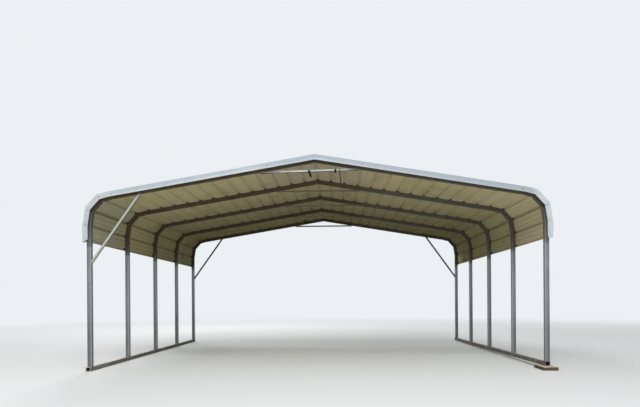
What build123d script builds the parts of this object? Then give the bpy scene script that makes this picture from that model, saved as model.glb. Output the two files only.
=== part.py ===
from build123d import *
import math
import os

# Carport of square steel tube: five bows on two ground rails, corrugated sheets bent over the eaves.
# Millimetres. X runs across, Y runs from the front (negative) to the back, Z is up from the floor.
# The origin is in the middle of the plan, at floor level.

# Frame
bow_count = 5
bay_length = 1524.0
frame_width = 6706.0
tube_size = 63.5
tube_wall = 1.9

# Reach of the ground rails past the outer faces of the end legs
left_rail_lead = 60.0
left_rail_tail = 6.0
right_rail_lead = 4.0
right_rail_tail = 62.0

# Stubs on the rails, which the legs stand over
stub_height = 150.0
stub_gap = 1.25

# Shape of a bow, measured on the outer faces of its tube
lean_start_height = 2130.0
lean_run = 40.0
lean_rise = 244.0
shoulder_run = 156.0
shoulder_rise = 171.0
brow_run = 155.0
brow_rise = 41.0
roof_slope = 2.0 / 12.0

# Foot of a bow, squeezed to slide into the top of its leg
splice_drop = 310.0
swage_gap = 1.1
swage_length = 120.0
swage_taper = 12.0
swage_clearance = 0.1

# Folds that the bending leaves in the inner wall and the sides of a bow
fold_width = 34.0
fold_depth = 3.5
fold_rise = 6.0
fold_reach = 0.85

# Corrugated sheets
rib_pitch = 228.6
rib_height = 19.0
rib_foot_width = 64.0
rib_top_width = 22.0
low_rib_count = 2
low_rib_height = 2.5
low_rib_foot_width = 22.0
low_rib_top_width = 12.0
sheet_thickness = 1.0
lap_clearance = 0.2
lap_lip = 6.0
roof_overhang = 100.0
side_sheet_count = 3
ridge_sheet_ribs = 4
eave_sheet_ribs = 3
sheet_edge_drop = 235.0

# Edge trim along the front and back of the roof
trim_face = 76.0
trim_top_depth = 75.0
trim_rise = 10.0
trim_kick_height = 27.0
trim_kick_depth = 5.0
trim_lip = 6.0
trim_thickness = 1.0
trim_drop = 12.0
trim_clearance = 0.6
left_foot_slant = 27.0
right_foot_radius = 26.0

# Ties under the ridge
tie_drop = 111.0
tie_seat_length = 45.0
tie_depth = 28.0
tie_width = 38.0
front_tie_tilt = 1.25

# Knee braces
brace_foot_drop = 220.0
brace_head_inset = 715.0
brace_depth = 32.0
brace_width = 38.0
light_wall = 1.5

# Block under the front end of the right ground rail
block_width = 206.0
block_length = 400.0
block_height = 50.0
block_front_reach = 165.0
block_edge = 4.0

# Worked out from the sizes above
half_width = frame_width / 2
leg_x = half_width - tube_size / 2
leg_bore = tube_size - 2 * tube_wall
bow_ys = [(i - (bow_count - 1) / 2) * bay_length for i in range(bow_count)]
roof_half_length = bow_ys[-1] + roof_overhang
ridge_to_brow = half_width - lean_run - shoulder_run - brow_run
brow_height = lean_start_height + lean_rise + shoulder_rise + brow_rise
ridge_height = brow_height + ridge_to_brow * roof_slope
roof_angle = math.atan(roof_slope)
stub_size = leg_bore - 2 * stub_gap
splice_height = lean_start_height - splice_drop
brace_foot_height = splice_height - brace_foot_drop
swage_size = leg_bore - 2 * swage_gap
swage_start = splice_height + swage_taper * (2 * tube_wall + swage_clearance) / (tube_size - swage_size)


def line_meet(a, direction_a, b, direction_b):
    cross = direction_a[0] * direction_b[1] - direction_a[1] * direction_b[0]
    t = ((b[0] - a[0]) * direction_b[1] - (b[1] - a[1]) * direction_b[0]) / cross
    return (a[0] + direction_a[0] * t, a[1] + direction_a[1] * t)


def direction(a, b):
    length = math.dist(a, b)
    return ((b[0] - a[0]) / length, (b[1] - a[1]) / length)


def shifted(points, distance, start_cut=None, end_cut=None):
    """The open line moved sideways to its left, mitred at each corner.

    A cut is the direction of the plane that the line's end is trimmed to."""
    runs = [direction(a, b) for a, b in zip(points, points[1:])]
    moved = []
    for i, point in enumerate(points):
        before = runs[max(i - 1, 0)]
        after = runs[min(i, len(runs) - 1)]
        start = (point[0] - before[1] * distance, point[1] + before[0] * distance)
        if i == 0 and start_cut:
            moved.append(line_meet(start, before, point, start_cut))
        elif i == len(points) - 1 and end_cut:
            moved.append(line_meet(start, before, point, end_cut))
        elif abs(before[0] * after[1] - before[1] * after[0]) < 1e-9:
            moved.append(start)
        else:
            other = (point[0] - after[1] * distance, point[1] + after[0] * distance)
            moved.append(line_meet(start, before, other, after))
    return moved


def slab(outline, y_low, y_high):
    """An outline in X and Z, drawn out along Y."""
    face = make_face(Polyline([(x, 0, z) for x, z in outline], close=True))
    return Pos(0, y_low, 0) * extrude(face, y_high - y_low, dir=(0, 1, 0))


def mirrored(outline):
    return [(-x, z) for x, z in outline]


# The outer line of the right half of a bow, from the ridge down to its squeezed foot
bow_line = [
    (0.0, ridge_height),
    (ridge_to_brow, brow_height),
    (ridge_to_brow + brow_run, brow_height - brow_rise),
    (half_width - lean_run, lean_start_height + lean_rise),
    (half_width, lean_start_height),
    (half_width, swage_start),
]
upright = (0.0, 1.0)


def bow_offset(depth):
    """The bow's line moved outwards by a depth, or inwards where the depth is negative."""
    return shifted(bow_line, depth, start_cut=upright)


def bow_underside(x):
    """Height of the rafter's underside at a distance from the ridge."""
    return ridge_height - tube_size / math.cos(roof_angle) - x * roof_slope


def swaged_foot(inset):
    """The squeezed foot of a right bow, its faces moved inwards by an inset."""
    def square(size, height):
        return Pos(leg_x, 0, height) * Rectangle(size - 2 * inset, size - 2 * inset)
    neck = swage_start - swage_taper
    end = splice_height - swage_length
    taper = loft([square(tube_size, swage_start), square(swage_size, neck)])
    return taper + extrude(square(swage_size, end), neck - end)


def bend_folds(corner, inset):
    """The folds at one bend of a right bow, on the tube's faces moved inwards by an inset."""
    outer = bow_offset(-inset)[corner]
    inner = bow_offset(inset - tube_size)[corner]
    before = direction(bow_line[corner - 1], bow_line[corner])
    after = direction(bow_line[corner], bow_line[corner + 1])
    across = direction(inner, outer)
    half = fold_width / 2
    side = tube_size / 2 - inset
    start = (inner[0] - before[0] * half, inner[1] - before[1] * half)
    end = (inner[0] + after[0] * half, inner[1] + after[1] * half)
    reach = math.dist(inner, outer) * fold_reach
    tip = (inner[0] + across[0] * reach, inner[1] + across[1] * reach)
    crest = (inner[0] + across[0] * fold_rise, inner[1] + across[1] * fold_rise)
    groove = slab([start, end, crest], -side, side)
    triangle = make_face(Polyline([(x, side, z) for x, z in (start, end, tip)], close=True))
    dent = loft([triangle, Vertex(inner[0], side - fold_depth, inner[1])])
    return groove + dent + mirror(dent, Plane.XZ)


def bow_body(inset):
    """A right bow without its hollow, its faces moved inwards by an inset."""
    outline = bow_offset(-inset) + bow_offset(inset - tube_size)[::-1]
    side = tube_size / 2 - inset
    body = slab(outline, -side, side) + swaged_foot(inset)
    for corner in range(1, len(bow_line) - 1):
        body -= bend_folds(corner, inset)
    return body


def right_bow():
    return bow_body(0.0) - bow_body(tube_wall)


def tube_along_y(length):
    """A square tube with open ends, lying along Y on the plane Z = 0, its front end at Y = 0."""
    inner = tube_size - 2 * tube_wall
    stand = Align.MIN
    outside = Box(tube_size, length, tube_size, align=(Align.CENTER, stand, stand))
    inside = Box(inner, length, inner, align=(Align.CENTER, stand, stand))
    return outside - Pos(0, 0, tube_wall) * inside


# The right rail leans on the back edge of the block and on its own rear end
front_leg_face = bow_ys[0] - tube_size / 2
back_leg_face = bow_ys[-1] + tube_size / 2
left_rail_front = front_leg_face - left_rail_lead
left_rail_length = back_leg_face + left_rail_tail - left_rail_front
right_rail_back = back_leg_face + right_rail_tail
right_rail_length = right_rail_back - front_leg_face + right_rail_lead
block_front = bow_ys[0] - block_front_reach
block_back = block_front + block_length
rail_tilt = math.asin(block_height / (right_rail_back - block_back))


def right_rail_top(y):
    return (right_rail_back - y) * math.tan(rail_tilt) + tube_size / math.cos(rail_tilt)


def left_rail_top(y):
    return tube_size


def upright_tube(x, y, size, rail_top, head):
    """An upright square tube, its foot cut to the slope of the rail."""
    def prism(width):
        low = y - width / 2
        high = y + width / 2
        outline = [(0, low, rail_top(low)), (0, high, rail_top(high)), (0, high, head), (0, low, head)]
        face = make_face(Polyline(outline, close=True))
        return extrude(face, width / 2, dir=(1, 0, 0), both=True)
    return Pos(x, 0, 0) * (prism(size) - prism(size - 2 * tube_wall))


def leg(x, y, rail_top):
    return upright_tube(x, y, tube_size, rail_top, splice_height)


def stub(x, y, rail_top):
    return upright_tube(x, y, stub_size, rail_top, rail_top(y) + stub_height)


# Distances along the bow's line from the ridge, where the sheet's ribs and bends are counted
bend_distances = [0.0]
for a, b in zip(bow_line, bow_line[1:]):
    bend_distances.append(bend_distances[-1] + math.dist(a, b))


def on_bow(distance, height):
    """The point at a distance along the right bow and a height above its tube."""
    if distance < 0:
        x, z = on_bow(-distance, height)
        return (-x, z)
    run = 0
    while run < len(bow_line) - 2 and distance > bend_distances[run + 1]:
        run += 1
    ahead = direction(bow_line[run], bow_line[run + 1])
    along = distance - bend_distances[run]
    x = bow_line[run][0] + ahead[0] * along - ahead[1] * height
    z = bow_line[run][1] + ahead[1] * along + ahead[0] * height
    return (x, z)


lap_lift = sheet_thickness + lap_clearance


def rib(number):
    """The lower side of a rib, counted from the ridge."""
    centre = number * rib_pitch
    foot = rib_foot_width / 2
    top = rib_top_width / 2
    crown = [on_bow(centre - top, rib_height), on_bow(centre + top, rib_height)]
    return [on_bow(centre - foot, 0.0)] + crown + [on_bow(centre + foot, 0.0)]


def lap_rib(number):
    """The last rib of an upper sheet, which covers the first rib of the sheet below."""
    covered = rib(number)
    far_foot = number * rib_pitch + rib_foot_width / 2
    cover = shifted(covered + [on_bow(far_foot + lap_lip, 0.0)], lap_lift)
    foot = covered[0]
    pan = direction(on_bow((number - 0.5) * rib_pitch, 0.0), foot)
    near_foot = line_meet(cover[0], direction(foot, covered[1]), foot, pan)
    return [near_foot] + cover[1:]


def pan(number):
    """The flat stretch that follows a rib, with its low ribs and the bends of the bow."""
    start = number * rib_pitch + rib_foot_width / 2
    end = (number + 1) * rib_pitch - rib_foot_width / 2
    foot = low_rib_foot_width / 2
    top = low_rib_top_width / 2
    bends = [d for d in bend_distances[1:-1] if start < d < end]
    points = []
    for i in range(low_rib_count):
        centre = (number + (i + 1) / (low_rib_count + 1)) * rib_pitch
        bends = [d for d in bends if abs(d - centre) > foot]
        points += [(centre - foot, 0.0), (centre - top, low_rib_height)]
        points += [(centre + top, low_rib_height), (centre + foot, 0.0)]
    points += [(d, 0.0) for d in bends]
    return [on_bow(distance, height) for distance, height in sorted(points)]


def sheet(line):
    """A corrugated sheet from the line of its lower side."""
    outline = line + shifted(line, sheet_thickness)[::-1]
    return slab(outline, -roof_half_length, roof_half_length)


# Ribs are counted from the ridge, and the ridge sheet has half its ribs on each side. The side sheets share
# the ribs between it and the eave sheet, which takes what is left over.
ridge_edge = ridge_sheet_ribs // 2
edge_distance = bend_distances[-2] + sheet_edge_drop
last_rib = round((edge_distance - rib_foot_width / 2) / rib_pitch)
sheet_ribs = (last_rib - ridge_edge - eave_sheet_ribs) // side_sheet_count
eave_edge_height = on_bow(last_rib * rib_pitch + rib_foot_width / 2, 0.0)[1]


def ribs_and_pans(first, last):
    """The stretch from one rib up to, but without, another."""
    line = []
    for number in range(first, last):
        line += rib(number) + pan(number)
    return line


def ridge_sheet():
    right = pan(0) + ribs_and_pans(1, ridge_edge) + lap_rib(ridge_edge)
    return sheet(mirrored(right)[::-1] + rib(0) + right)


def right_sheet(index):
    """A sheet of the right slope, counted from the ridge sheet."""
    first = ridge_edge + index * sheet_ribs
    last = first + sheet_ribs
    return sheet(ribs_and_pans(first, last) + lap_rib(last))


def right_eave_sheet():
    first = ridge_edge + side_sheet_count * sheet_ribs
    return sheet(ribs_and_pans(first, last_rib) + rib(last_rib))


# Edge trim, measured from the bow's outer line
trim_seat = rib_height + lap_lift + sheet_thickness + trim_clearance
trim_crest = trim_seat + trim_rise
trim_edge = trim_crest - trim_face
trim_foot = eave_edge_height - trim_drop


def trim_profile():
    """Across the strip: distance past the ends of the sheets, and height above the bow."""
    face = trim_clearance
    kicked = trim_clearance + trim_kick_depth
    inside = [(-trim_top_depth, trim_seat), (face, trim_crest), (face, trim_edge + trim_kick_height)]
    inside += [(kicked, trim_edge), (kicked - trim_lip, trim_edge)]
    return inside + shifted(inside, trim_thickness)[::-1]


def right_trim(slant):
    """The strip over the back end of the right slope. Its foot is cut lower on the outside by a slant."""
    angle = math.radians(slant)
    foot = (half_width, trim_foot + trim_crest * math.tan(angle))
    cut = (math.cos(angle), -math.sin(angle))
    line = bow_line[:-1] + [foot]
    rings = [[] for corner in line]
    for past, height in trim_profile():
        edge = shifted(line, height, start_cut=upright, end_cut=cut)
        for ring, (x, z) in zip(rings, edge):
            ring.append((x, roof_half_length + past, z))
    return loft([make_face(Polyline(ring, close=True)) for ring in rings], ruled=True)


def foot_rounded(strip):
    """A right strip with both corners of its foot rounded."""
    radius = right_foot_radius
    length = 4 * trim_top_depth
    for corner, side in ((half_width + trim_edge, 1), (half_width + trim_crest + trim_thickness, -1)):
        waste = Pos(corner, roof_half_length, trim_foot) * Box(2 * radius, length, 2 * radius)
        centre = Pos(corner + side * radius, roof_half_length, trim_foot + radius)
        strip -= waste - centre * Rot(90, 0, 0) * Cylinder(radius, length)
    return strip


def ridge_tie(y, tilt):
    """A channel under the ridge, open at the back, its ends cut to the underside of the bow."""
    rise = math.tan(math.radians(tilt))
    middle = bow_underside(0.0) - tie_drop

    def end(side):
        shoulder = side * tie_drop / (roof_slope + side * rise)
        tip = shoulder + side * tie_seat_length
        low = middle - tie_depth + rise * tip
        return [(shoulder, middle + rise * shoulder), (tip, bow_underside(abs(tip))), (tip, low)]

    def across(depth):
        return [(x, middle - depth + rise * x) for x in (-half_width, half_width)]
    half = tie_width / 2
    body = slab(end(-1) + end(1)[::-1], y - half, y + half)
    hollow = across(light_wall) + across(tie_depth - light_wall)[::-1]
    return body - slab(hollow, y - half + light_wall, y + half)


def right_brace(y):
    """A channel from the inner face of a leg up to the underside of its bow."""
    leg_face = half_width - tube_size
    head_x = leg_face - brace_head_inset
    foot = (leg_face, brace_foot_height)
    head = (head_x, bow_underside(head_x))
    ahead = direction(foot, head)
    rafter = (1.0, -roof_slope)

    def edge(offset):
        start = (foot[0] - ahead[1] * offset, foot[1] + ahead[0] * offset)
        return [line_meet(start, ahead, foot, upright), line_meet(start, ahead, head, rafter)]
    low = edge(brace_depth / 2)
    high = edge(-brace_depth / 2)
    body = slab(low + high[::-1], y - brace_width / 2, y + brace_width / 2)
    web = edge(brace_depth / 2 - light_wall)
    beyond = edge(-brace_depth)
    gap = brace_width / 2 - light_wall
    return body - slab(web + beyond[::-1], y - gap, y + gap)


def support_block():
    block = Box(block_width, block_length, block_height, align=(Align.CENTER, Align.MIN, Align.MIN))
    block = chamfer(block.edges().filter_by(Axis.Z) + block.faces().sort_by(Axis.Z)[-1].edges(), block_edge)
    return Pos(leg_x, block_front, 0) * block


parts = {}


def both_sides(name, solid):
    parts[name.format("right")] = solid
    parts[name.format("left")] = mirror(solid, Plane.YZ)


parts["base_rail_left"] = Pos(-leg_x, left_rail_front, 0) * tube_along_y(left_rail_length)
right_rail = Pos(0, -right_rail_length, 0) * tube_along_y(right_rail_length)
tilted = Rot(-math.degrees(rail_tilt), 0, 0) * right_rail
parts["base_rail_right"] = Pos(leg_x, right_rail_back, 0) * tilted
parts["support_block"] = support_block()
stubs = [stub(-leg_x, y, left_rail_top) for y in bow_ys] + [stub(leg_x, y, right_rail_top) for y in bow_ys]
parts["rail_stubs"] = Compound(stubs)
bow = right_bow()
for number, y in enumerate(bow_ys, 1):
    parts[f"leg_left_{number}"] = leg(-leg_x, y, left_rail_top)
    parts[f"leg_right_{number}"] = leg(leg_x, y, right_rail_top)
    both_sides("bow_{}_" + str(number), Pos(0, y, 0) * bow)
    parts[f"ridge_tie_{number}"] = ridge_tie(y, front_tie_tilt if number == 1 else 0.0)
parts["roof_sheet_ridge"] = ridge_sheet()
for index in range(side_sheet_count):
    both_sides("roof_sheet_{}_" + str(index + 1), right_sheet(index))
both_sides("eave_sheet_{}", right_eave_sheet())
right_strip = foot_rounded(right_trim(0.0))
left_strip = mirror(right_trim(left_foot_slant), Plane.YZ)
for side, strip in (("right", right_strip), ("left", left_strip)):
    parts[f"edge_trim_back_{side}"] = strip
    parts[f"edge_trim_front_{side}"] = mirror(strip, Plane.XZ)
parts["knee_brace_back_right"] = right_brace(bow_ys[-1])
parts["knee_brace_back_left"] = mirror(right_brace(bow_ys[-1]), Plane.YZ)
parts["knee_brace_front_left"] = mirror(right_brace(bow_ys[0]), Plane.YZ)

os.makedirs("parts", exist_ok=True)
for name, solid in parts.items():
    export_step(solid, f"parts/{name}.step")
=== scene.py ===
import math

import bmesh
import bpy
from mathutils import Matrix, Vector
from mathutils.bvhtree import BVHTree


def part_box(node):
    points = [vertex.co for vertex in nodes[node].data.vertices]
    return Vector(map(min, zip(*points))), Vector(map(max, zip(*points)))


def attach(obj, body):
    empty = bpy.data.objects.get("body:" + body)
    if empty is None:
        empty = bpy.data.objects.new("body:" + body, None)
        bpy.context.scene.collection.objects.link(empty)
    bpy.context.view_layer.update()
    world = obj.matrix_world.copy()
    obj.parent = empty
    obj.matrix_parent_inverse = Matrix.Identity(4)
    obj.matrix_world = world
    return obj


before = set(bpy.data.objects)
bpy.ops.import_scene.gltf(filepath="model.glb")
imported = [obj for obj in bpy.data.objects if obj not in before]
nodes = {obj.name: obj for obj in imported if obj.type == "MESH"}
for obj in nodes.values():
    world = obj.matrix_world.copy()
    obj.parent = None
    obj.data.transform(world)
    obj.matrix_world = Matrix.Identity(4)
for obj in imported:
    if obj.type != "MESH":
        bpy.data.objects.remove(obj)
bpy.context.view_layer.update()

# Sizes taken from the carport's own pieces, in metres
bow_numbers = range(1, 6)
leg_low, leg_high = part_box("leg_right_1")
tube = leg_high.y - leg_low.y
bow_places = [(low.y + high.y) / 2 for low, high in (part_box(f"leg_left_{n}") for n in bow_numbers)]
bay_length = bow_places[1] - bow_places[0]
leg_x = (leg_low.x + leg_high.x) / 2
half_width = leg_high.x
splice_height = leg_high.z
ridge_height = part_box("bow_right_1")[1].z
trim_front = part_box("edge_trim_front_right")[0].y
rail_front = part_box("base_rail_left")[0].y
front_tie_low, front_tie_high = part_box("ridge_tie_1")
rear_tie_low, rear_tie_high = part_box("ridge_tie_2")
tie_depth = rear_tie_high.z - rear_tie_low.z
tie_climb = (front_tie_high.z - front_tie_low.z - tie_depth) / (front_tie_high.x - front_tie_low.x)
block_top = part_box("support_block")[1].z

# The outer line of a bow, and the ribs of the sheets on it
roof_slope = 2.0 / 12.0
brow_x = 3.002
brow_run = 0.155
brow_rise = 0.041
shoulder_run = 0.156
shoulder_rise = 0.171
lean_rise = 0.244
rib_pitch = 0.2286
low_rib_pitch = rib_pitch / 3
rib_hollow = 0.03
last_rib = 17
side_ribs = 2
lap_ribs = (2, 6, 10, 14)
eave_foot = 3.3
brow = Vector((brow_x, 0.0, ridge_height - brow_x * roof_slope))
shoulder = brow + Vector((brow_run, 0.0, -brow_rise))
lean = shoulder + Vector((shoulder_run, 0.0, -shoulder_rise))
upright = Vector((half_width, 0.0, lean.z - lean_rise))
ridge = Vector((0.0, 0.0, ridge_height))
bow_corners = [ridge, brow, shoulder, lean, upright, Vector((half_width, 0.0, 0.0))]

# Camera: the eye in front of the carport, turned a little to the left and rolled a little
image_width = 640
image_height = 407
focal_pixels = 569.23
horizon_row = 301.24
eye = Vector((0.2797, -11.3242, 1.0019))
eye_turn = 0.0266
eye_roll = 0.0069


class Wire:
    """The output of a node. Sums on it add Math nodes to its tree."""

    def __init__(self, tree, socket):
        self.tree = tree
        self.socket = socket

    def __add__(self, other):
        return self.tree.math("ADD", self, other)

    def __sub__(self, other):
        return self.tree.math("SUBTRACT", self, other)

    def __rsub__(self, other):
        return self.tree.math("SUBTRACT", other, self)

    def __mul__(self, other):
        return self.tree.math("MULTIPLY", self, other)

    def __gt__(self, other):
        return self.tree.math("GREATER_THAN", self, other)

    def __lt__(self, other):
        return self.tree.math("LESS_THAN", self, other)

    __radd__ = __add__
    __rmul__ = __mul__


class Tree:
    """A node tree, for a material or for geometry."""

    def __init__(self, tree):
        self.tree = tree

    def node(self, kind, settings=None, **sockets):
        """A node with its settings, then the values or links of its sockets, by their name or as s0, s1."""
        made = self.tree.nodes.new(kind)
        for key, value in (settings or {}).items():
            setattr(made, key, value)
        shown = [socket for socket in made.inputs if socket.enabled]
        for key, value in sockets.items():
            if key[0] == "s" and key[1:].isdigit():
                socket = shown[int(key[1:])]
            else:
                socket = next(s for s in shown if s.name.replace(" ", "_") == key)
            if isinstance(value, Wire):
                self.tree.links.new(value.socket, socket)
            else:
                socket.default_value = value
        return made

    def out(self, made, name=None):
        """One output of a node, by its name, or else the first."""
        shown = [socket for socket in made.outputs if socket.enabled]
        return Wire(self, next(s for s in shown if name in (None, s.name)))

    def wire(self, kind, settings=None, output=None, **sockets):
        return self.out(self.node(kind, settings, **sockets), output)

    def math(self, operation, *values):
        sockets = {f"s{i}": value for i, value in enumerate(values)}
        return self.wire("ShaderNodeMath", {"operation": operation}, **sockets)

    def measure(self, operation, *vectors):
        """A number worked out from vectors, such as a length."""
        sockets = {f"s{i}": vector for i, vector in enumerate(vectors)}
        return self.wire("ShaderNodeVectorMath", {"operation": operation}, "Value", **sockets)

    def ramp(self, value, low, high, start=0.0, end=1.0, smooth=True):
        """A value taken from one range to another, and held there."""
        settings = {"interpolation_type": "SMOOTHSTEP" if smooth else "LINEAR"}
        return self.wire("ShaderNodeMapRange", settings, s0=value, s1=low, s2=high, s3=start, s4=end)

    def mix(self, factor, a, b):
        """Colour a where the factor is 0, colour b where it is 1."""
        a, b = ((*c, 1.0) if isinstance(c, tuple) else c for c in (a, b))
        return self.wire("ShaderNodeMix", {"data_type": "RGBA"}, s0=factor, s1=a, s2=b)


class Finish(Tree):
    """The node tree of a new material with one shader."""

    def __init__(self, name, **fixed):
        self.material = bpy.data.materials.new(name)
        self.material.use_nodes = True
        super().__init__(self.material.node_tree)
        self.shader = next(n for n in self.tree.nodes if n.type == "BSDF_PRINCIPLED")
        for key, value in fixed.items():
            self.shader.inputs[key.replace("_", " ")].default_value = value
        self.place = self.wire("ShaderNodeTexCoord", output="Object")
        parts = self.node("ShaderNodeSeparateXYZ", Vector=self.place)
        self.x, self.y, self.z = (self.out(parts, axis) for axis in "XYZ")

    def facing(self, axis):
        """How far the surface faces along an axis, from -1 to 1."""
        normal = self.wire("ShaderNodeNewGeometry", output="True Normal")
        return self.out(self.node("ShaderNodeSeparateXYZ", Vector=normal), axis)

    def noise(self, scale, stretch=(1, 1, 1), detail=3.0, shift=0.0):
        """Noise from 0 to 1 about one half. Stretch makes it long along an axis where it is under 1."""
        place = self.wire("ShaderNodeMapping", Vector=self.place, Scale=stretch, Location=(shift,) * 3)
        return self.wire("ShaderNodeTexNoise", output="Fac", Vector=place, Scale=scale,
                         Detail=detail, Roughness=0.55)

    def cells(self, scale):
        """A grey value from 0 to 1, one for each cell of a crystal pattern."""
        pattern = self.node("ShaderNodeTexVoronoi", {"feature": "F1"}, Vector=self.place, Scale=scale)
        return self.wire("ShaderNodeSeparateColor", Color=self.out(pattern, "Color"))

    def feed(self, socket, value):
        self.tree.links.new(value.socket, self.shader.inputs[socket])

    def bump(self, height, distance, strength=1.0):
        self.feed("Normal", self.wire("ShaderNodeBump", Height=height, Distance=distance, Strength=strength))


class GeometryTree(Tree):
    """A geometry node tree with named inputs, which ends in one material."""

    def __init__(self, name, **inputs):
        super().__init__(bpy.data.node_groups.new(name, "GeometryNodeTree"))
        self.add_socket("Geometry", "Geometry", "OUTPUT")
        self.add_socket("Geometry", "Geometry")
        self.identifiers = {label: self.add_socket(label, kind) for label, kind in inputs.items()}
        self.identifiers["Material"] = self.add_socket("Material", "Material")
        self.entry = self.node("NodeGroupInput")

    def add_socket(self, label, kind, in_out="INPUT"):
        made = self.tree.interface.new_socket(label, in_out=in_out, socket_type=f"NodeSocket{kind}")
        return made.identifier

    def given(self, label):
        return self.out(self.entry, label)

    def join(self, *shapes):
        joined = self.node("GeometryNodeJoinGeometry")
        for shape in shapes:
            self.tree.links.new(shape.socket, joined.inputs[0])
        return self.out(joined)

    def end(self, shape):
        whole = self.wire("GeometryNodeRealizeInstances", Geometry=shape)
        dressed = self.wire("GeometryNodeSetMaterial", Geometry=whole, Material=self.given("Material"))
        self.node("NodeGroupOutput", Geometry=dressed)
        return self


# Materials

def banded_upright(coat, tone, side):
    """A leg's or bow's walls: painted highlight near the inner edge, painted shade outside and on the inner
    side, darker near the ground.
    """
    from_inner = coat.math("ABSOLUTE", coat.x) - (half_width - tube)
    # Painted highlight along the inner corner of the front and back faces; painted shade on their outer part
    # and on the inner side wall.
    corner_highlight = coat.ramp(from_inner, 0.022, 0.006) * (from_inner > -0.002) * (1.0 - side)
    outer_shade = coat.ramp(from_inner, 0.028, 0.062)
    inner_wall_shade = side * (from_inner < 0.01)
    near_ground = coat.ramp(coat.z, 1.05, 0.45)
    tone = coat.mix(outer_shade * 0.4, tone, (0.09, 0.105, 0.12))
    tone = coat.mix(inner_wall_shade * 0.4, tone, (0.09, 0.1, 0.11))
    tone = coat.mix(near_ground * 0.42, tone, (0.07, 0.08, 0.09))
    return coat.mix(corner_highlight * 0.45, tone, (0.46, 0.5, 0.53))


def dusty_rail(coat, tone):
    """Pale dust along the top of a ground rail, thicker in front, bright bare steel round its cut end, and a
    painted highlight on the top of its front end.
    """
    top = coat.ramp(coat.facing("Z"), 0.5, 0.9)
    patches = coat.ramp(coat.noise(35.0, detail=4.0), 0.3, 0.6)
    dust = top * patches * coat.ramp(coat.y, -1.2, -3.0, 0.5, 0.9)
    tone = coat.mix(dust, tone, (0.66, 0.64, 0.56))
    # Bright bare steel at the cut end, and a painted highlight on the top of the rail's first few
    # centimetres.
    cut_end = coat.ramp(coat.y, rail_front + 0.02, rail_front + 0.008)
    bare_and_highlight = coat.math("MAXIMUM", cut_end, top * (coat.y < rail_front + 0.06))
    return coat.mix(bare_and_highlight * 0.85, tone, (0.72, 0.74, 0.72))


def galvanised(name, along, soil=0.0, roof_shade=None, dull=0.0):
    """Dull zinc-coated steel with faint spangle, drawn along one axis of the tube.

    Soil is how far a rail's upright sides are stained along the ground. Roof shade gives the heights between
    which a bow is painted brown under the roof, as painted shade. Dull is how far the zinc is darkened all
    over; on the front bow it is painted shade."""
    coat = Finish(name, Specular_IOR_Level=0.15 if roof_shade else 0.5)
    stretch = tuple(0.04 if axis == along else 1.0 for axis in "XYZ")
    spangle = coat.cells(75.0)
    drawn = coat.noise(60.0, stretch, detail=2.0)
    cloud = coat.noise(6.0, detail=4.0)
    bloom = coat.ramp(coat.noise(2.3, detail=4.0), 0.45, 0.7)
    tone = coat.mix(spangle * 0.6 + drawn * 0.4, (0.165, 0.19, 0.205), (0.24, 0.27, 0.285))
    tone = coat.mix(bloom * 0.4, tone, (0.31, 0.345, 0.36))
    side = coat.ramp(coat.math("ABSOLUTE", coat.facing("X")), 0.4, 0.6)
    if along == "Z":
        tone = banded_upright(coat, tone, side)
    # Dull: the zinc darkened all over; on the front bow this is painted shade under the roof.
    if dull:
        tone = coat.mix(dull, tone, (0.075, 0.08, 0.085))
    splash = coat.ramp(coat.z + coat.noise(9.0) * 0.16, 0.28, 0.06)
    tone = coat.mix(splash * coat.ramp(coat.noise(28.0), 0.35, 0.65), tone, (0.2, 0.155, 0.11))
    freckles = coat.ramp(coat.noise(90.0, detail=2.0, shift=5.0), 0.68, 0.74)
    tone = coat.mix(freckles * coat.ramp(coat.noise(4.0, shift=9.0), 0.5, 0.62), tone, (0.16, 0.075, 0.035))
    stain = splash * 0.2
    if soil:
        dirty = side * (0.5 + coat.ramp(cloud, 0.35, 0.6) * 0.5) * soil
        earth = coat.mix(coat.noise(30.0), (0.066, 0.046, 0.037), (0.175, 0.13, 0.105))
        tone = dusty_rail(coat, coat.mix(dirty, tone, earth))
        stain = stain + dirty * 0.2
    # Painted shade: the bows go dark brown under the roof, less on the right half, where more light falls.
    if roof_shade:
        shade = coat.ramp(coat.z + (cloud - 0.5) * 0.25, *roof_shade)
        shade = shade * (0.98 - coat.ramp(coat.x, 0.2, 1.2) * 0.25)
        brown = coat.mix(cloud, (0.052, 0.038, 0.022), (0.118, 0.092, 0.057))
        tone = coat.mix(shade, tone, coat.mix(spangle * 0.3, brown, (0.15, 0.13, 0.1)))
        stain = stain + shade * 0.35
    coat.feed("Base Color", tone)
    coat.feed("Metallic", 0.45 - bloom * 0.2 - stain)
    coat.feed("Roughness", 0.36 + spangle * 0.08 + bloom * 0.14 + stain)
    coat.bump(drawn * 0.5 + spangle * 0.5, 0.0004)
    return coat.material


def along_bow(coat):
    """Distance from the ridge along the outer line of a bow, left or right."""
    span = coat.math("ABSOLUTE", coat.x)
    total = 0.0
    for start, end in zip(bow_corners, bow_corners[1:]):
        run = end - start
        ahead = run.normalized()
        reach = (span - start.x) * ahead.x + (coat.z - start.z) * ahead.z
        total = coat.ramp(reach, 0.0, run.length, end=run.length, smooth=False) + total
    return total


def first_bay_light(coat, tone, inside):
    """Painted light and shade under the first bay: lighter towards the right eave, greyer under the ridge
    and over the left eave.
    """
    first_bay = coat.ramp(coat.y, bow_places[1] + 0.3, bow_places[1] - 0.3) * inside
    right_side = coat.ramp(coat.x, 2.3, 3.0)
    under_ridge = coat.ramp(coat.math("ABSOLUTE", coat.x), 1.3, 0.4)
    left_eave = coat.ramp(coat.x, -2.9, -3.25)
    # Painted light towards the right eave; painted shade under the ridge and over the left eave.
    tone = coat.mix(right_side * first_bay * 0.7, tone, (0.66, 0.6, 0.43))
    tone = coat.mix(under_ridge * first_bay * 0.85, tone, (0.44, 0.41, 0.32))
    return coat.mix(left_eave * first_bay * 0.85, tone, (0.42, 0.415, 0.325))


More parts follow.
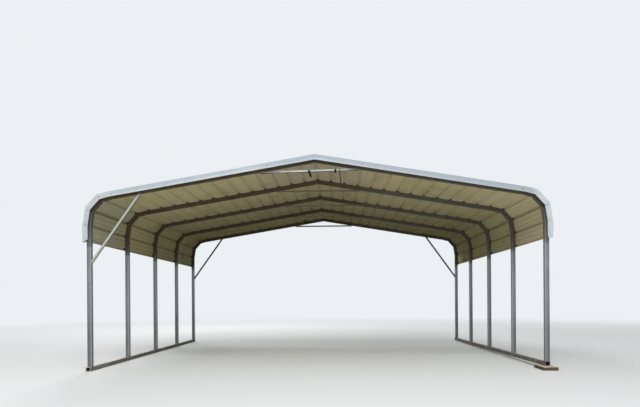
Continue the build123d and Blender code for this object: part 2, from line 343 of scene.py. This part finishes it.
def low_rib_flanks(coat, tone, distance, inside):
    """A painted highlight on the upper flank and painted shade on the lower flank of every low rib at the
    foot of the eave sheets.
    """
    foot = coat.ramp(distance, eave_foot, eave_foot + 0.2) * inside
    past_low_rib = coat.math("FRACT", distance * (1.0 / low_rib_pitch) + 0.5) - 0.5
    flank_highlight = coat.ramp(past_low_rib, -0.22, -0.14) * coat.ramp(past_low_rib, 0.0, -0.06)
    flank_shade = coat.ramp(past_low_rib, 0.22, 0.14) * coat.ramp(past_low_rib, 0.0, 0.06)
    # Painted highlight on each low rib's upper flank, painted shade on its lower flank.
    tone = coat.mix(flank_highlight * foot * 0.4, tone, (0.62, 0.55, 0.36))
    return coat.mix(flank_shade * foot * 0.25, tone, (0.12, 0.1, 0.06))


def shaded_hollows(coat, tone, distance, inside):
    """Painted shade in the hollows of the high ribs: darkest over a bow, and grooved in the last ribs of the
    eave's side.

    A notch is the part of a bay, from the middle of its bow, in which a hollow is darkest."""
    notch = 0.036
    from_rib = coat.math("PINGPONG", distance * (1.0 / rib_pitch), 0.5)
    from_bow = coat.math("PINGPONG", coat.y * (1.0 / bay_length), 0.5)
    hollow = coat.ramp(from_rib, rib_hollow / rib_pitch, 0.75 * rib_hollow / rib_pitch) * inside
    past_rib = coat.math("FRACT", distance * (1.0 / rib_pitch) + 0.5) - 0.5
    side_start = (last_rib - side_ribs - 0.5) * rib_pitch
    side_end = (last_rib - 0.5) * rib_pitch
    groove = coat.ramp(past_rib, -0.07, -0.04) * (distance > side_start) * (distance < side_end)
    over_bow = coat.ramp(from_bow, notch, notch * 2 / 3)
    shade = coat.math("MAXIMUM", 0.04 + groove * 0.2, over_bow * 0.68)
    # Painted shade: a dark tone in the rib hollows, faint along them and deep over each bow.
    return coat.mix(hollow * shade, tone, (0.03, 0.023, 0.014))


def roof_paint():
    """Tan baked paint on the sheets: faded and streaked outside, stained inside, with painted light and
    shade under the first bay and in the ribs.
    """
    coat = Finish("tan_roof_paint", Specular_IOR_Level=0.0, Coat_Roughness=0.4)
    normal = coat.wire("ShaderNodeNewGeometry", output="True Normal")
    turn = coat.ramp(coat.math("ABSOLUTE", coat.x), brow_x, half_width)
    outward = coat.wire("ShaderNodeCombineXYZ", X=coat.math("SIGN", coat.x) * turn, Z=1.0 - turn * 0.95)
    outside = coat.measure("DOT_PRODUCT", normal, outward) > 0.0
    inside = 1.0 - outside
    patches = coat.noise(1.1, detail=4.0)
    fine = coat.noise(14.0, detail=3.0, shift=3.0)
    stains = coat.ramp(coat.noise(3.0, (1.0, 0.5, 1.0), detail=5.0, shift=7.0), 0.5, 0.72) * inside
    dust = coat.ramp(coat.noise(5.0, (0.12, 6.0, 0.12), detail=4.0), 0.45, 0.75) * outside
    tone = coat.mix(coat.ramp(patches, 0.35, 0.68), (0.53, 0.485, 0.3), (0.475, 0.455, 0.28))
    tone = coat.mix(outside * 0.9, tone, coat.mix(patches, (0.47, 0.395, 0.24), (0.52, 0.44, 0.28)))
    tone = coat.mix(fine * 0.3, tone, (0.54, 0.48, 0.33))
    tone = coat.mix(stains * 0.4, tone, (0.27, 0.235, 0.14))
    tone = coat.mix(dust * 0.35, tone, (0.3, 0.26, 0.18))
    tone = first_bay_light(coat, tone, inside)
    distance = along_bow(coat)
    tone = low_rib_flanks(coat, tone, distance, inside)
    coat.feed("Base Color", shaded_hollows(coat, tone, distance, inside))
    coat.feed("Roughness", 0.42 + dust * 0.2 + fine * 0.12)
    coat.feed("Coat Weight", outside * 0.6)
    coat.bump(coat.noise(3.0, (1.0, 0.3, 1.0), detail=2.0), 0.002, 0.6)
    return coat.material


def trim_paint():
    """Pale blue-white paint on the edge trim with runs of dirt, and painted shade above its kicked lower
    edge, near the ridge and on the right slope.
    """
    coat = Finish("pale_trim_paint")
    runs = coat.noise(7.0, (1.0, 1.0, 0.35), detail=4.0)
    specks = coat.ramp(coat.noise(55.0, detail=2.0, shift=2.0), 0.62, 0.72)
    span = coat.math("ABSOLUTE", coat.x)
    rise = coat.z + span * roof_slope - ridge_height
    upper_shade = coat.ramp(rise, -0.022, -0.014) * coat.ramp(span, brow_x, brow_x - 0.25)
    right_slope_shade = coat.ramp(coat.x, 0.0, 0.8) * coat.ramp(coat.x, shoulder.x + 0.06, shoulder.x - 0.1)
    ridge_trim_shade = coat.ramp(span, 1.0, 0.3)
    tone = coat.mix(coat.ramp(runs, 0.4, 0.75), (0.48, 0.53, 0.565), (0.415, 0.465, 0.5))
    # Painted shade near the ridge, on the right slope and above the kick.
    tone = coat.mix(ridge_trim_shade * 0.85, tone, (0.31, 0.37, 0.43))
    tone = coat.mix(right_slope_shade * 0.95, tone, (0.315, 0.36, 0.395))
    tone = coat.mix(upper_shade * 0.4, tone, (0.32, 0.36, 0.4))
    tone = coat.mix(specks * 0.5, tone, (0.33, 0.36, 0.37))
    coat.feed("Base Color", tone)
    coat.feed("Roughness", 0.38 + runs * 0.2)
    coat.bump(coat.noise(2.2, detail=1.0), 0.003, 0.5)
    return coat.material


def light_channel(name, bright, dull, under_shade=0.4, shaded_ends=(), foot=None):
    """Thin zinc-coated channel of the ties and braces, with painted shade on its underside.

    Shaded ends are where along X painted shade darkens it, and how far. Foot is the height of a tie's lower
    edge at the middle, from which a painted shadow line creeps up its front."""
    coat = Finish(name)
    spangle = coat.cells(90.0)
    bloom = coat.ramp(coat.noise(5.0, detail=4.0), 0.4, 0.7)
    specks = coat.ramp(coat.noise(120.0, detail=2.0), 0.66, 0.74)
    tone = coat.mix(spangle * 0.5 + bloom * 0.5, bright, dull)
    # Painted shade towards the ends of the tie.
    for start, end, depth in shaded_ends:
        tone = coat.mix(coat.ramp(coat.x, start, end) * depth, tone, (0.2, 0.175, 0.12))
    # Painted shade on faces turned down, and a painted shadow line along the foot of a tie's front.
    shade_below = coat.ramp(coat.facing("Z"), -0.3, -0.6)
    if foot:
        rise = coat.z - coat.x * tie_climb
        shade_below = coat.math("MAXIMUM", shade_below, coat.ramp(rise, foot + 0.006, foot + 0.003))
    tone = coat.mix(shade_below * under_shade, tone, (0.022, 0.018, 0.013))
    coat.feed("Base Color", coat.mix(specks * 0.6, tone, (0.16, 0.13, 0.09)))
    coat.feed("Metallic", 0.3 - bloom * 0.15)
    coat.feed("Roughness", 0.42 + bloom * 0.2)
    coat.bump(spangle, 0.0003)
    return coat.material


def weathered_timber():
    """Sawn timber gone brown-grey, with its grain along the block, and a pale top of dust with a painted
    highlight.
    """
    coat = Finish("weathered_timber")
    fibres = coat.noise(55.0, (1.0, 0.06, 1.0), detail=5.0)
    rings = coat.wire("ShaderNodeTexWave", {"wave_type": "RINGS", "rings_direction": "Y"}, "Fac",
                      Vector=coat.place, Scale=28.0, Distortion=5.0, Detail=2.0)
    grain = fibres * 0.7 + rings * 0.3
    tone = coat.mix(grain, (0.045, 0.03, 0.02), (0.13, 0.09, 0.06))
    dust = coat.ramp(coat.noise(22.0, detail=4.0), 0.25, 0.5)
    # Pale top: dust, and a painted highlight where light falls on the top.
    top = coat.ramp(coat.z, block_top - 0.006, block_top - 0.001)
    tone = coat.mix(top * dust * 0.95, tone, (0.74, 0.64, 0.47))
    coat.feed("Base Color", tone)
    coat.feed("Roughness", 0.75 + fibres * 0.2)
    coat.bump(grain, 0.002)
    return coat.material


def fastener_finish(name, clean, rust_start):
    """Zinc or painted screw heads, each with some rust of its own."""
    coat = Finish(name)
    patches = coat.noise(1.7, detail=2.0)
    spots = coat.noise(260.0, detail=3.0)
    rust = coat.ramp(patches * 0.5 + spots * 0.5, rust_start, rust_start + 0.1)
    tone = coat.mix(spots, tuple(c * 0.75 for c in clean), clean)
    coat.feed("Base Color", coat.mix(rust, tone, (0.11, 0.05, 0.025)))
    coat.feed("Roughness", 0.4 + rust * 0.4)
    coat.feed("Metallic", 0.5 - rust * 0.5)
    return coat.material


def nylon(name, gloss, scuff_scale, deep, worn):
    """Matt nylon, scuffed and worn in the weather."""
    coat = Finish(name, Specular_IOR_Level=gloss)
    scuffs = coat.noise(scuff_scale, detail=3.0)
    coat.feed("Base Color", coat.mix(scuffs, deep, worn))
    coat.feed("Roughness", 0.5 + scuffs * 0.3)
    coat.bump(scuffs, 0.0002)
    return coat.material


# The front tie and brace are painted as lit copies of the channel; the ties and braces further back are
# painted shaded copies.
tie_channel = light_channel("tie_channel", (0.42, 0.43, 0.4), (0.33, 0.34, 0.32), under_shade=1.0,
                            shaded_ends=((-0.5, -0.53, 0.55), (-0.7, -0.74, 0.7), (0.42, 0.62, 0.75)),
                            foot=front_tie_low.z - front_tie_low.x * tie_climb)
brace_channel = light_channel("brace_channel", (0.46, 0.49, 0.43), (0.34, 0.37, 0.32), under_shade=0.85)
dull_channel = light_channel("dull_channel", (0.24, 0.2, 0.13), (0.17, 0.145, 0.095))
dark_channel = light_channel("dark_channel", (0.1, 0.1, 0.075), (0.06, 0.06, 0.045))
# The front bow gets its own copy of the zinc, with less painted shade than the bows behind it.
front_bow = galvanised("sooty_zinc_front", "Z", roof_shade=(1.65, 2.6), dull=0.45)
tan_paint = roof_paint()
finishes = {
    "base_rail": galvanised("zinc_rail", "Y", soil=0.9),
    "leg": galvanised("zinc_leg", "Z"),
    "rail_stubs": galvanised("zinc_stub", "Z"),
    "bow_left_1": front_bow,
    "bow_right_1": front_bow,
    "bow": galvanised("sooty_zinc", "Z", roof_shade=(1.55, 2.1)),
    "ridge_tie_1": tie_channel,
    "ridge_tie": dull_channel,
    "knee_brace_front": brace_channel,
    "knee_brace": dark_channel,
    "roof_sheet": tan_paint,
    "eave_sheet": tan_paint,
    "edge_trim": trim_paint(),
    "support_block": weathered_timber(),
}

for name, piece in nodes.items():
    finish = next(material for start, material in finishes.items() if name.startswith(start))
    piece.data.materials.clear()
    piece.data.materials.append(finish)


# Places on the carport

def line_point(distance):
    """The point on the right bow's outer line at a distance from the ridge, and the way out from it."""
    for start, end in zip(bow_corners, bow_corners[1:]):
        length = (end - start).length
        if distance <= length:
            break
        distance -= length
    ahead = (end - start).normalized()
    return start + ahead * distance, Vector((-ahead.z, 0.0, ahead.x))


def on_line(distance, y, side):
    """A point of either bow line, left where the side is -1, and the way out from it."""
    place, out = line_point(distance)
    return Vector((side * place.x, y, place.z)), Vector((side * out.x, 0.0, out.z))


def search_tree(*starts):
    """A search tree over the faces of the nodes whose names start so."""
    corners = []
    faces = []
    for name, piece in nodes.items():
        if name.startswith(starts):
            first = len(corners)
            corners += [vertex.co.copy() for vertex in piece.data.vertices]
            faces += [[first + index for index in face.vertices] for face in piece.data.polygons]
    return BVHTree.FromPolygons(corners, faces)


def seated(tree, places):
    """Each place moved onto the surface under it, with the way that the surface faces."""
    reach = 0.07
    found = []
    for place, out in places:
        hit, normal, *_ = tree.ray_cast(place + out * reach, -out, 2 * reach)
        if hit:
            found.append((hit, normal if normal.dot(out) > 0 else -normal))
    return found


# Fasteners

sides = (-1, 1)
screw_sizes = {"Washer_Height": 0.0018, "Head_Radius": 0.0046, "Head_Height": 0.0045, "Sink": 0.0004}
roof_washer = 0.0075
trim_washer = 0.0085
tube_washer = 0.0062


def fastener_tree():
    """A hexagon head on a round washer at every point of a mesh, turned to the point's facing."""
    tree = GeometryTree("fasteners", Washer_Radius="Float", Washer_Height="Float", Head_Radius="Float",
                        Head_Height="Float", Sink="Float", Seed="Int")
    washer_radius = tree.given("Washer_Radius")
    washer_height = tree.given("Washer_Height")
    head_radius = tree.given("Head_Radius")
    sink = tree.wire("ShaderNodeCombineXYZ", Z=0.0 - tree.given("Sink"))
    lift = tree.wire("ShaderNodeCombineXYZ", Z=washer_height)
    washer = tree.wire("GeometryNodeMeshCone", Vertices=16, Radius_Top=washer_radius * 0.86,
                       Radius_Bottom=washer_radius, Depth=washer_height)
    head = tree.wire("GeometryNodeMeshCone", Vertices=6, Radius_Top=head_radius * 0.9,
                     Radius_Bottom=head_radius, Depth=tree.given("Head_Height"))
    head = tree.wire("GeometryNodeTransform", Geometry=head, Translation=lift)
    shape = tree.wire("GeometryNodeTransform", Geometry=tree.join(washer, head), Translation=sink)
    facing = tree.wire("GeometryNodeInputNamedAttribute", {"data_type": "FLOAT_VECTOR"}, Name="facing")
    turned = tree.wire("FunctionNodeAlignRotationToVector", {"axis": "Z"}, Vector=facing)
    seed = tree.given("Seed")
    angle = tree.wire("FunctionNodeRandomValue", {"data_type": "FLOAT"}, Max=math.tau, Seed=seed)
    spin = tree.wire("FunctionNodeAxisAngleToRotation", Axis=(0, 0, 1), Angle=angle)
    spun = tree.wire("FunctionNodeRotateRotation", {"rotation_space": "LOCAL"}, Rotation=turned,
                     Rotate_By=spin)
    placed = tree.wire("GeometryNodeInstanceOnPoints", Points=tree.given("Geometry"), Instance=shape,
                       Rotation=spun)
    return tree.end(placed)


def weld_tree():
    """A rippled weld bead along the edges of a mesh."""
    tree = GeometryTree("weld_bead", Radius="Float", Ripple="Float", Points="Int")
    line = tree.wire("GeometryNodeMeshToCurve", Mesh=tree.given("Geometry"))
    line = tree.wire("GeometryNodeResampleCurve", Curve=line, Count=tree.given("Points"))
    place = tree.wire("GeometryNodeInputPosition")
    ripple = tree.wire("ShaderNodeTexNoise", output="Fac", Vector=place, Scale=160.0, Detail=2.0)
    profile = tree.wire("GeometryNodeCurvePrimitiveCircle", Resolution=8, Radius=tree.given("Radius"))
    size = 1.0 + (ripple - 0.5) * tree.given("Ripple")
    bead = tree.wire("GeometryNodeCurveToMesh", Curve=line, Profile_Curve=profile, Scale=size)
    return tree.end(bead)


def grown(name, tree, mesh, slot, **values):
    """The plain piece that a geometry tree makes from a mesh."""
    piece = bpy.data.objects.new(name, mesh)
    bpy.context.scene.collection.objects.link(piece)
    modifier = piece.modifiers.new("grow", "NODES")
    modifier.node_group = tree.tree
    for label, value in values.items():
        modifier[tree.identifiers[label]] = value
    graph = bpy.context.evaluated_depsgraph_get()
    solid = bpy.data.meshes.new_from_object(piece.evaluated_get(graph))
    piece.modifiers.remove(modifier)
    piece.data = solid
    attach(piece, "root")
    return piece


screws = fastener_tree()


def screw_set(name, found, slot, material, washer, seed):
    """One screw at each place found on a surface, on a washer of a radius."""
    mesh = bpy.data.meshes.new(name)
    mesh.from_pydata([place for place, out in found], [], [])
    facing = mesh.attributes.new("facing", "FLOAT_VECTOR", "POINT")
    facing.data.foreach_set("vector", [value for place, out in found for value in out])
    grown(name, screws, mesh, slot, Washer_Radius=washer, Seed=seed, Material=material, **screw_sizes)


roof_tree = search_tree("roof_sheet", "eave_sheet")
trim_tree = search_tree("edge_trim")
leg_tree = search_tree("leg")
tan_screws = fastener_finish("tan_screws", (0.4, 0.34, 0.22), 0.56)
zinc_screws = fastener_finish("zinc_screws", (0.34, 0.36, 0.37), 0.52)
dull_screws = fastener_finish("dull_screws", (0.12, 0.12, 0.11), 0.47)

pan_offset = 0.046
sheet_places = [on_line(rib * rib_pitch + pan_offset, y, side)
                for rib in range(last_rib) for y in bow_places for side in sides]
screw_set("sheet_screws", seated(roof_tree, sheet_places), "roof_sheet", tan_screws, roof_washer, seed=1)

stitch_pitch = 0.508
stitch_count = 12
stitch_ys = [(i - (stitch_count - 1) / 2) * stitch_pitch for i in range(stitch_count)]
lap_places = [on_line(rib * rib_pitch, y, side) for rib in lap_ribs for y in stitch_ys for side in sides]
screw_set("lap_screws", seated(roof_tree, lap_places), "roof_sheet", tan_screws, roof_washer, seed=2)

cover_inset = 0.04
cover_ribs = range(1, last_rib, 2)
cover_ys = (trim_front + cover_inset, -trim_front - cover_inset)
cover_places = [on_line(rib * rib_pitch, y, side) for rib in cover_ribs for y in cover_ys for side in sides]
cover_found = seated(trim_tree, cover_places)
screw_set("trim_cover_screws", cover_found, "edge_trim", zinc_screws, roof_washer, seed=3)

face_distances = {-1: (0.69, 3.0, 3.19, 3.46, 3.67), 1: (0.69, 3.0, 3.46, 3.67)}
face_drop = 0.01


def face_places(end):
    """Places on the faces of the trim at the front, where the end is -1, or the back."""
    for side in sides:
        for distance in face_distances[side]:
            place, out = on_line(distance, end * abs(trim_front), side)
            yield place - out * face_drop, Vector((0.0, end, 0.0))


face_found = seated(trim_tree, [place for end in sides for place in face_places(end)])
screw_set("trim_face_screws", face_found, "edge_trim", dull_screws, trim_washer, seed=4)


def leg_places(heights):
    """Places on the front and back of every leg at some heights."""
    return [(Vector((side * leg_x, y + end * tube / 2, height)), Vector((0.0, end, 0.0)))
            for side in sides for y in bow_places for end in sides for height in heights]


splice_drops = (0.045, 0.095)
splice_found = seated(leg_tree, leg_places([splice_height - drop for drop in splice_drops]))
screw_set("splice_screws", splice_found, "galvanised_tube", zinc_screws, tube_washer, seed=5)

foot_screw_height = 0.19
foot_found = seated(leg_tree, leg_places([foot_screw_height]))
screw_set("foot_screws", foot_found, "galvanised_tube", zinc_screws, tube_washer, seed=6)


def weld_loops():
    """The outline of every bow's section at the ridge, where its two tubes meet."""
    half = tube / 2
    low = ridge_height - tube * math.hypot(1.0, roof_slope)
    mesh = bpy.data.meshes.new("ridge_welds")
    corners = []
    edges = []
    for y in bow_places:
        first = len(corners)
        corners += [(0.0, y - half, low), (0.0, y + half, low)]
        corners += [(0.0, y + half, ridge_height), (0.0, y - half, ridge_height)]
        edges += [(first, first + 1), (first + 1, first + 2), (first + 2, first + 3), (first + 3, first)]
    mesh.from_pydata(corners, edges, [])
    return mesh


grown("ridge_welds", weld_tree(), weld_loops(), "galvanised_tube", Radius=0.0028, Ripple=0.7, Points=96,
      Material=finishes["bow"])


# Nylon ties round the front ridge tie

def tie_middle(x):
    """Height of the middle of the front ridge tie's section."""
    return front_tie_low.z + tie_depth / 2 + (x - front_tie_low.x) * tie_climb


def ribbon(name, path, width, thickness, material, closed=False):
    """A flat strip of nylon along a path, as wide along X as given."""
    shape = bmesh.new()
    half = Vector((width / 2, 0.0, 0.0))
    rows = [[shape.verts.new(point + half * side) for side in sides] for point in path]
    pairs = list(zip(rows, rows[1:])) + ([(rows[-1], rows[0])] if closed else [])
    for (a, b), (c, d) in pairs:
        shape.faces.new((a, b, d, c))
    bmesh.ops.recalc_face_normals(shape, faces=shape.faces)
    mesh = bpy.data.meshes.new(name)
    shape.to_mesh(mesh)
    shape.free()
    piece = bpy.data.objects.new(name, mesh)
    bpy.context.scene.collection.objects.link(piece)
    wall = piece.modifiers.new("wall", "SOLIDIFY")
    wall.thickness = thickness
    wall.offset = 0.0
    edge = piece.modifiers.new("edge", "BEVEL")
    edge.width = thickness * 0.3
    edge.segments = 2
    mesh.materials.append(material)
    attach(piece, "root")
    return piece


def band_path(x, clearance, slack=0.0):
    """Round the front tie's section at a place along it, hanging below it by the slack."""
    half_depth = tie_depth / 2 + clearance
    half_across = (front_tie_high.y - front_tie_low.y) / 2 + clearance
    centre = Vector((x, (front_tie_low.y + front_tie_high.y) / 2, tie_middle(x)))
    radius = 0.003
    steps = 4
    points = []
    for quarter, (side, level) in enumerate(((1, 1), (-1, 1), (-1, -1), (1, -1))):
        height = level * (half_depth - radius) - (slack if level < 0 else 0.0)
        corner = centre + Vector((0.0, side * (half_across - radius), height))
        for step in range(steps):
            angle = (quarter + step / (steps - 1)) * math.pi / 2
            points.append(corner + Vector((0.0, math.cos(angle), math.sin(angle))) * radius)
    return points


def tail_path(start, reach, bow_out):
    """A tail from a point as far as it reaches, bowed to the front in its middle."""
    end = start + reach
    steps = 8
    points = []
    for step in range(steps + 1):
        part = step / steps
        points.append(start.lerp(end, part) - Vector((0.0, bow_out * math.sin(math.pi * part), 0.0)))
    return points


black = nylon("black_nylon", 0.05, 180.0, (0.004, 0.004, 0.004), (0.014, 0.013, 0.012))
brown = nylon("faded_nylon", 0.2, 150.0, (0.03, 0.02, 0.013), (0.065, 0.044, 0.03))
tie_face = front_tie_low.y
tail_drop = 0.008

band_width = 0.026
band_thickness = 0.002
band_gap = 0.0032
left_tail_width = 0.034
left_x = -0.0865
right_x = 0.2965
for label, x, slack in (("left", left_x, 0.01), ("right", right_x, 0.02)):
    band = band_path(x, band_thickness / 2, slack)
    ribbon(f"nylon_tie_{label}", band, band_width, band_thickness, black, closed=True)
left_start = Vector((left_x + 0.003, tie_face - band_gap, tie_middle(left_x) - tail_drop))
left_tail = tail_path(left_start, reach=Vector((0.026, -0.012, -0.084)), bow_out=0.006)
ribbon("nylon_tie_left_tail", left_tail, left_tail_width, band_thickness, black)

thin_width = 0.012
thin_thickness = 0.0012
thin_gap = 0.0016
thin_tail_width = 0.02
thin_x = 0.358
thin_band = band_path(thin_x, thin_thickness / 2)
ribbon("nylon_tie_thin", thin_band, thin_width, thin_thickness, brown, closed=True)
thin_start = Vector((thin_x, tie_face - thin_gap, tie_middle(thin_x) - tail_drop))
thin_tail = tail_path(thin_start, reach=Vector((0.016, -0.006, -0.192)), bow_out=0.012)
ribbon("nylon_tie_thin_tail", thin_tail, thin_tail_width, thin_thickness, brown)


# Stage, light and camera

def seen_straight(tree):
    """1 for what the camera sees, straight, in a reflection or through a surface, and 0 for light."""
    path = tree.node("ShaderNodeLightPath")
    seen = tree.math("MAXIMUM", tree.out(path, "Is Camera Ray"), tree.out(path, "Is Glossy Ray"))
    return tree.math("MAXIMUM", seen, tree.out(path, "Is Transmission Ray"))


def pale_floor(shown, haze):
    """A floor that shows one colour and fades into the haze far away.

    The light that it throws up at the carport is bright in front, dim under the roof and warm behind it."""
    coat = Finish("pale_floor", Roughness=0.9)
    seen = seen_straight(coat)
    lit = coat.mix(coat.ramp(coat.y, -3.6, 2.2), (0.9, 0.85, 0.76), (0.05, 0.05, 0.028))
    lit = coat.mix(coat.ramp(coat.y, 2.8, 4.6) * 0.3, lit, (0.62, 0.6, 0.3))
    coat.feed("Base Color", coat.mix(seen, lit, shown))
    glow = coat.wire("ShaderNodeEmission", Color=(*haze, 1.0))
    far = coat.ramp(coat.measure("LENGTH", coat.place), 6.0, 24.0) * seen
    end = next(n for n in coat.tree.nodes if n.type == "OUTPUT_MATERIAL")
    mixed = coat.wire("ShaderNodeMixShader", s0=far, s1=Wire(coat, coat.shader.outputs[0]), s2=glow)
    coat.tree.links.new(mixed.socket, end.inputs["Surface"])
    return coat.material


backdrop = (0.84, 0.87, 0.9)
floor_reach = 90.0
floor_mesh = bpy.data.meshes.new("floor")
corners = [(-floor_reach, -floor_reach, 0), (floor_reach, -floor_reach, 0)]
corners += [(floor_reach, floor_reach, 0), (-floor_reach, floor_reach, 0)]
floor_mesh.from_pydata(corners, [], [(0, 1, 2, 3)])
floor = bpy.data.objects.new("floor", floor_mesh)
bpy.context.scene.collection.objects.link(floor)
floor_mesh.materials.append(pale_floor((0.86, 0.87, 0.87), backdrop))

world = bpy.data.worlds.new("soft_sky")
bpy.context.scene.world = world
world.use_nodes = True
sky = Tree(world.node_tree)
background = next(n for n in sky.tree.nodes if n.type == "BACKGROUND")
way = sky.wire("ShaderNodeTexCoord", output="Generated")
depth = sky.out(sky.node("ShaderNodeSeparateXYZ", Vector=way), "Y")
towards_back = sky.ramp(depth, -0.7, 0.35, smooth=False)
soft_light = sky.mix(towards_back, (0.62, 0.65, 0.67), (0.22, 0.23, 0.215))
sky_colour = sky.mix(seen_straight(sky), soft_light, backdrop)
sky.tree.links.new(sky_colour.socket, background.inputs["Color"])
background.inputs["Strength"].default_value = 1.0


def soft_lamp(name, place, target, size, power):
    lamp = bpy.data.lights.new(name, "AREA")
    lamp.shape = "DISK"
    lamp.size = size
    lamp.energy = power
    holder = bpy.data.objects.new(name, lamp)
    bpy.context.scene.collection.objects.link(holder)
    holder.location = place
    holder.rotation_euler = (Vector(target) - Vector(place)).to_track_quat("-Z", "Y").to_euler()


soft_lamp("key_lamp", place=(1.0, -14.0, 11.0), target=(0.0, -1.0, 1.0), size=7.0, power=1400.0)
soft_lamp("fill_lamp", place=(-6.0, 13.0, 13.0), target=(0.0, 3.0, 2.0), size=7.0, power=1300.0)

camera_data = bpy.data.cameras.new("eye")
camera_data.sensor_width = 36.0
camera_data.lens = focal_pixels * camera_data.sensor_width / image_width
camera_data.shift_y = (horizon_row - image_height / 2) / image_width
camera_data.clip_end = 500.0
camera = bpy.data.objects.new("eye", camera_data)
bpy.context.scene.collection.objects.link(camera)
forward = Vector((-math.sin(eye_turn), math.cos(eye_turn), 0.0))
level = Vector((math.cos(eye_turn), math.sin(eye_turn), 0.0))
up = Vector((0.0, 0.0, 1.0))
right = level * math.cos(eye_roll) - up * math.sin(eye_roll)
above = level * math.sin(eye_roll) + up * math.cos(eye_roll)
camera.matrix_world = Matrix.Translation(eye) @ Matrix((right, above, -forward)).transposed().to_4x4()
bpy.context.scene.camera = camera

bpy.context.scene.view_settings.view_transform = "Standard"
